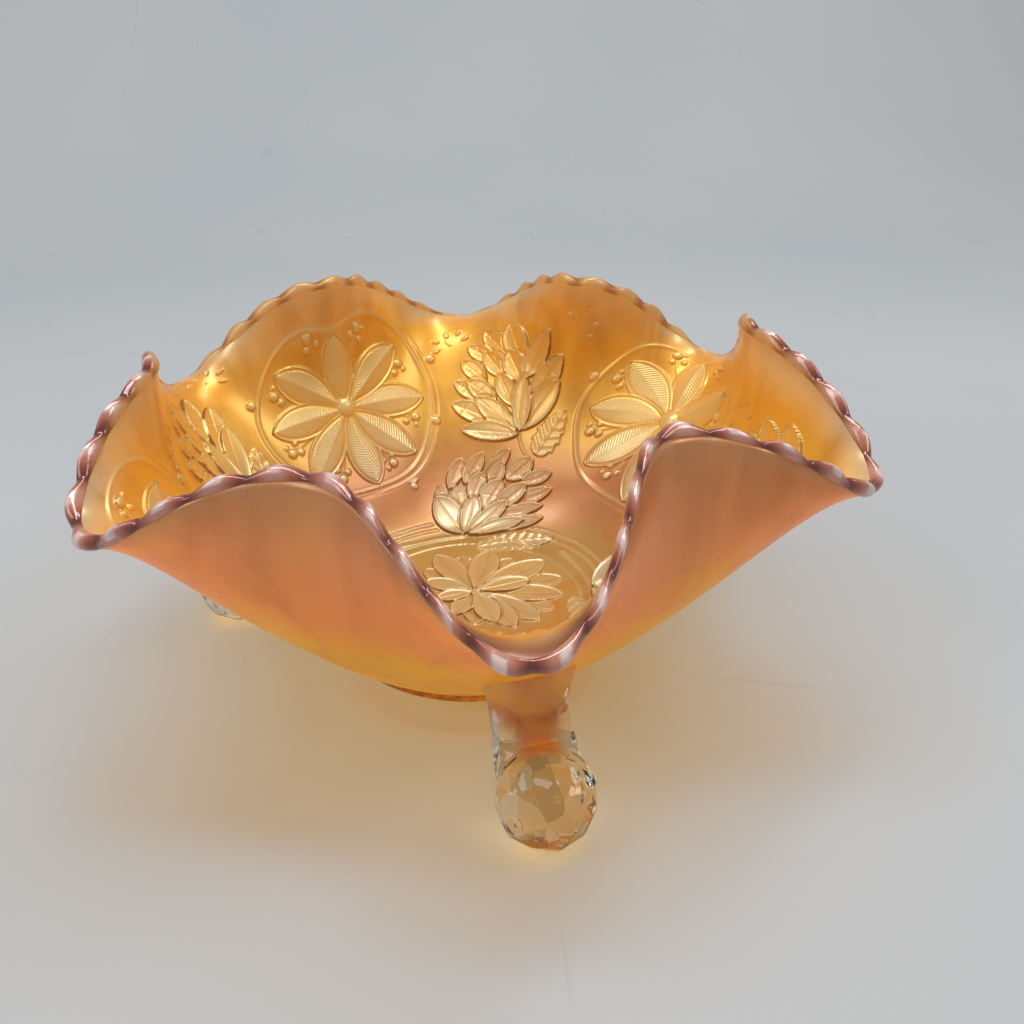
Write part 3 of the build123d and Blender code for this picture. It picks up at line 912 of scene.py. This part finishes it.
def lustre(name, stops, pink, pink_share, raised_sheen_stops, crest_film, roughness, metallic, glow, coat):
    """Marigold lustre: gold to orange up the wall, rose where the lustre layer is thicker, raised work
    painted silvery pale as a painted reflection, near white on the low flowers; painted shade on steep flanks
    and under the front edge, and a painted highlight along the top.
    """
    nodes = Nodes(name)
    share, relief, steep = nodes.value("share"), nodes.value("relief"), nodes.value("steep")
    broad = nodes.noise(*BROAD)
    fine = nodes.noise(*FINE)
    streak = nodes.noise(*STREAK)
    place = nodes.plus(share, nodes.times(nodes.less(broad, 0.5), 0.5))
    base = nodes.ramp(place, stops)
    band = nodes.grey(place, pink_share)
    base = nodes.mix(nodes.times(band, streak), base, pink)
    base = nodes.mix(nodes.grey(streak, ((0.45, 0), (0.75, 0.6))), base, colour(0.82, 0.54, 0.19))
    base = nodes.mix(nodes.times(fine, 0.16), base, colour(0.98, 0.88, 0.52))
    # Raised work painted paler, near white on the low flowers: painted reflection.
    raised = nodes.math("MINIMUM", nodes.times(relief, 0.8), 0.88)
    base = nodes.mix(raised, base, nodes.ramp(share, raised_sheen_stops))
    # Dark brown on the steep flanks of the relief: painted shade.
    outline = nodes.math("MINIMUM", nodes.times(nodes.less(steep, 0.7), 0.8), 0.85)
    base = nodes.mix(nodes.math("MAXIMUM", outline, 0.0), base, colour(0.52, 0.30, 0.06))
    # Pale cream band along the top of the wall: painted highlight.
    crest = nodes.grey(share, ((0.94, 0), (0.985, crest_film)))
    base = nodes.mix(crest, base, colour(0.95, 0.87, 0.67))
    # Dark brown-pink just under the front edge: painted shade.
    base = nodes.mix(nodes.times(nodes.value("film"), 0.9), base, colour(0.56, 0.30, 0.22))
    shader = lustre_shader(nodes, base, roughness, metallic, glow, coat)
    return nodes.finish(nodes.let_light_through(shader, WALL_TINT))


def edge_glass():
    """Edge: brown-amethyst glass, painted paler on the crest of each scallop with a painted highlight spot on
    its upper side and painted shade in the notches; pale gold round the back, painted light from behind.
    """
    nodes = Nodes("edge_glass")
    lobe, side, top, far = (nodes.value(name) for name in ("lobe", "inner_side", "top_side", "far_side"))
    mottled = nodes.noise(130.0, 3.0, 0.6, 0.8)
    patch = nodes.times(nodes.less(mottled, 0.5), 0.6)
    # Darker in the notches and lighter on the crest of each scallop: painted shade and painted highlight.
    dark = nodes.ramp(
        nodes.plus(lobe, patch),
        ((0.1, colour(0.44, 0.17, 0.10)), (0.5, colour(0.64, 0.34, 0.24)), (0.95, colour(0.78, 0.54, 0.46))),
    )
    # Near-white spot on the upper side of each scallop: painted highlight.
    upper = nodes.grey(top, ((0.0, 0), (0.45, 1)))
    glint_mask = nodes.times(nodes.plus(lobe, patch), upper)
    spot = nodes.grey(glint_mask, ((0.84, 0), (1.0, 0.6)))
    dark = nodes.mix(spot, dark, colour(0.95, 0.87, 0.85))
    rough = nodes.plus(nodes.times(mottled, 0.12), 0.08)
    shader = nodes.glossy(
        dark, rough, nodes.bump(mottled, 0.3, 0.0006), Metallic=0.1, Coat_Weight=0.6, Coat_Roughness=0.06
    )
    # Gold paler on the crest of each scallop: painted highlight.
    gold = nodes.ramp(lobe, ((0.1, colour(0.76, 0.52, 0.26)), (0.7, colour(0.92, 0.77, 0.52))))
    golden = lustre_shader(nodes, gold, 0.24, 0.25, 0.45)
    # Dark amethyst towards the front and pale gold round the back: painted shade at the front, painted light
    # from behind at the back.
    reach = nodes.less(nodes.times(far, 1.15), 0.50)
    turned_in = nodes.plus(nodes.plus(side, nodes.times(patch, 0.6)), reach)
    share = nodes.grey(turned_in, ((0.58, 0), (0.80, 1)))
    both = nodes.blend(share, shader, golden)
    return nodes.finish(nodes.let_light_through(both, (0.78, 0.60, 0.45)))


LUSTRE_START = 0.030             # height on a leg where the lustre of the bowl fades out
LUSTRE_FULL = 0.041


def clear_glass(nodes, tint, wavy, normal):
    """Clear tinted glass, a touch rougher where it is wavy."""
    rough = nodes.plus(nodes.times(wavy, 0.04), 0.01)
    return nodes.glossy(tint, rough, normal, Transmission_Weight=1.0, IOR=GLASS_IOR)


def collar_glass():
    """Amber glass of the base collar, rough along its edge."""
    nodes = Nodes("collar_glass")
    wavy = nodes.noise((260.0, 260.0, 500.0), 2.0, 0.4, 0.4)
    tint = nodes.ramp(wavy, ((0.4, colour(0.93, 0.78, 0.42)), (0.6, colour(0.70, 0.48, 0.18))))
    shader = clear_glass(nodes, tint, wavy, nodes.bump(wavy, 0.6, 0.0010))
    return nodes.finish(nodes.let_light_through(shader, FOOT_TINT))


def foot_glass():
    """Glass of the feet: clear and faceted at the ball, each facet tinted from olive tan to near white as
    painted reflections and shade, amber in the middle of the leg, lustre at the top.
    """
    nodes = Nodes("foot_glass")
    wavy = nodes.noise(90.0, 2.0, 0.4, 0.4)
    facets = nodes.add("ShaderNodeTexVoronoi", {"Vector": nodes.coordinates(95.0), "Scale": 1.0})
    # Colour of each facet of the ball, from olive tan to near white: painted reflections and shade.
    tint = nodes.ramp(
        facets.outputs["Color"],
        (
            (0.30, colour(0.74, 0.68, 0.54)),
            (0.46, colour(0.93, 0.90, 0.78)),
            (0.58, colour(1.00, 0.98, 0.94)),
            (0.74, colour(0.96, 0.82, 0.58)),
        ),
    )
    relief = nodes.plus(facets.outputs["Distance"], wavy)
    shader = clear_glass(nodes, tint, wavy, nodes.bump(relief, 0.7, 0.0022))
    amber = nodes.ramp(wavy, ((0.35, colour(0.66, 0.31, 0.0)), (0.65, colour(0.82, 0.44, 0.0))))
    core = nodes.times(nodes.value("core"), 0.9)
    shader = nodes.blend(core, shader, lustre_shader(nodes, amber, 0.15, 0.0, 0.5))
    place = nodes.add("ShaderNodeTexCoord").outputs["Object"]
    split = nodes.add("ShaderNodeSeparateXYZ", {"Vector": place})
    patch = nodes.times(nodes.less(wavy, 0.5), 0.02)
    height = nodes.plus(split.outputs["Z"], patch)
    rise = nodes.math("DIVIDE", nodes.less(height, LUSTRE_START), LUSTRE_FULL - LUSTRE_START)
    share = nodes.math("MINIMUM", nodes.math("MAXIMUM", rise, 0.0), 0.5)
    skin = nodes.ramp(wavy, ((0.35, colour(0.94, 0.70, 0.58)), (0.6, colour(0.94, 0.78, 0.40))))
    shader = nodes.blend(share, shader, lustre_shader(nodes, skin, 0.2, 0.2, 0.5))
    return nodes.finish(nodes.let_light_through(shader, FOOT_TINT))


def tabletop():
    """Off-white matt board with fine scratches, and the paper behind it."""
    nodes = Nodes("tabletop")
    stain = nodes.noise(3.0, 3.0, 0.5)
    grain = nodes.noise(900.0, 2.0, 0.5)
    base = nodes.ramp(stain, ((0.3, colour(0.70, 0.708, 0.715)), (0.7, colour(0.725, 0.73, 0.728))))
    for seed, scale in enumerate(((5.0, 7.0, 1.0), (8.0, 3.5, 1.0))):
        warped = nodes.noise(scale, 1.5, 0.5, 0.6)
        line = nodes.math("ABSOLUTE", nodes.less(warped, 0.42 + 0.15 * seed))
        scratch = nodes.grey(line, ((0.0, 1), (0.0035, 0)))
        broken = nodes.grey(nodes.noise(14.0 + seed, 2.0), ((0.5, 0), (0.62, 0.2)))
        base = nodes.mix(nodes.mix(1.0, scratch, broken, "MULTIPLY"), base, colour(0.50, 0.49, 0.48))
    return nodes.finish(nodes.glossy(base, 0.75, nodes.bump(grain, 0.08, 0.0004)))


# ---- The bowl ----
inside_stops = (
    (0.00, colour(0.80, 0.68, 0.40)),
    (0.30, colour(0.75, 0.53, 0.27)),
    (0.60, colour(0.98, 0.82, 0.34)),
    (0.85, colour(0.98, 0.78, 0.24)),
    (1.00, colour(0.98, 0.91, 0.70)),
)
outside_stops = (
    (0.00, colour(0.84, 0.68, 0.12)),
    (0.45, colour(0.89, 0.72, 0.11)),
    (0.75, colour(0.94, 0.68, 0.32)),
    (1.00, colour(0.97, 0.73, 0.46)),
)
# Colour of the raised work by height up the wall: painted reflection, near white low down, pale gold higher
# up.
raised_sheen_stops = (
    (0.00, colour(0.95, 0.89, 0.70)),
    (0.08, colour(0.97, 0.95, 0.80)),
    (0.32, colour(0.97, 0.94, 0.76)),
    (0.48, colour(0.97, 0.91, 0.66)),
    (0.75, colour(0.96, 0.88, 0.58)),
)
low_pink = ((0.05, 0.1), (0.22, 0.6), (0.40, 0.45), (0.52, 0.0))
high_pink = ((0.48, 0.0), (0.64, 1.0), (0.84, 0.9), (1.0, 0.45))
rose = colour(0.88, 0.52, 0.50)

relief_glass = lustre(
    "relief_lustre", inside_stops, rose, low_pink, raised_sheen_stops,
    crest_film=0.8, roughness=0.24, metallic=0.42, glow=0.38, coat=0.45,
)
wall_glass = lustre(
    "outside_lustre", outside_stops, rose, high_pink, raised_sheen_stops,
    crest_film=0.15, roughness=0.22, metallic=0.35, glow=0.42, coat=0.25,
)
bead_glass = edge_glass()
ring_glass = collar_glass()
leg_glass = foot_glass()

wall_shell(wall_glass)
floor_and_collar(wall_glass, ring_glass)
rim_bead(bead_glass)
for number in range(4):
    relief_panel(f"poinsettia_panel_{number + 1}", 2 * number, relief_glass, [f"poinsettia_{number + 1}"])
    lilies = [f"upper_water_lily_{number + 1}", f"lower_water_lily_{number + 1}"]
    relief_panel(f"water_lily_panel_{number + 1}", 2 * number + 1, relief_glass, lilies)
centre_panel(relief_glass)
for place, turn in FOOT_TURNS.items():
    foot("foot_" + place, turn, leg_glass, ["leg_" + place, "ball_foot_" + place])

# ---- Floor, light and camera ----
def backdrop():
    """Board that curves up into a paper background."""
    outline = [(-1.2, 0.0), (0.55, 0.0)]
    outline += [(0.55 + 0.5 * math.sin(t), 0.5 - 0.5 * math.cos(t)) for t in np.linspace(0.1, 1.45, 12)]
    outline += [(1.10, 1.9)]
    points = [(x, y, z) for y, z in outline for x in (-1.8, 1.8)]
    faces = [(2 * n, 2 * n + 1, 2 * n + 3, 2 * n + 2) for n in range(len(outline) - 1)]
    mesh = bpy.data.meshes.new("backdrop")
    mesh.from_pydata(points, [], faces)
    mesh.polygons.foreach_set("use_smooth", [True] * len(faces))
    mesh.materials.append(tabletop())
    board = bpy.data.objects.new("backdrop", mesh)
    bpy.context.scene.collection.objects.link(board)


def area_light(name, place, target, size, power, tint):
    light = bpy.data.lights.new(name, "AREA")
    light.shape = "RECTANGLE"
    light.size, light.size_y = size
    light.energy = power
    light.color = tint
    lamp = bpy.data.objects.new(name, light)
    lamp.location = place
    lamp.rotation_euler = (Vector(target) - Vector(place)).to_track_quat("-Z", "Y").to_euler()
    bpy.context.scene.collection.objects.link(lamp)


backdrop()
area_light("ceiling_near", (-0.15, 0.05, 1.3), (0, 0.0, 0), (0.22, 1.0), 6.0, (0.97, 0.99, 1.0))
area_light("ceiling_far", (0.35, 0.35, 1.3), (0, 0.05, 0), (0.22, 1.0), 5.0, (0.97, 0.99, 1.0))
area_light("window_left", (-1.0, -0.5, 0.9), (0, 0, 0.05), (0.5, 0.8), 3.7, (0.95, 0.98, 1.0))
area_light("lamp_right", (0.9, -0.3, 1.0), (0, 0, 0.05), (0.4, 0.4), 2.2, (1.0, 0.98, 0.95))

world = bpy.data.worlds.new("studio")
world.use_nodes = True
world.node_tree.nodes["Background"].inputs["Color"].default_value = (0.86, 0.90, 0.95, 1.0)
world.node_tree.nodes["Background"].inputs["Strength"].default_value = 0.50
bpy.context.scene.world = world

camera_data = bpy.data.cameras.new("camera")
camera_data.lens = 35.16
camera_data.sensor_width = 36.0
camera_data.clip_start = 0.01
camera = bpy.data.objects.new("camera", camera_data)
camera.location = (-0.0298, -0.2863, 0.2061)
camera.rotation_euler = Vector((0.1331, 0.8742, -0.4668)).to_track_quat("-Z", "Y").to_euler()
bpy.context.scene.collection.objects.link(camera)
bpy.context.scene.camera = camera
bpy.context.scene.view_settings.view_transform = "Standard"
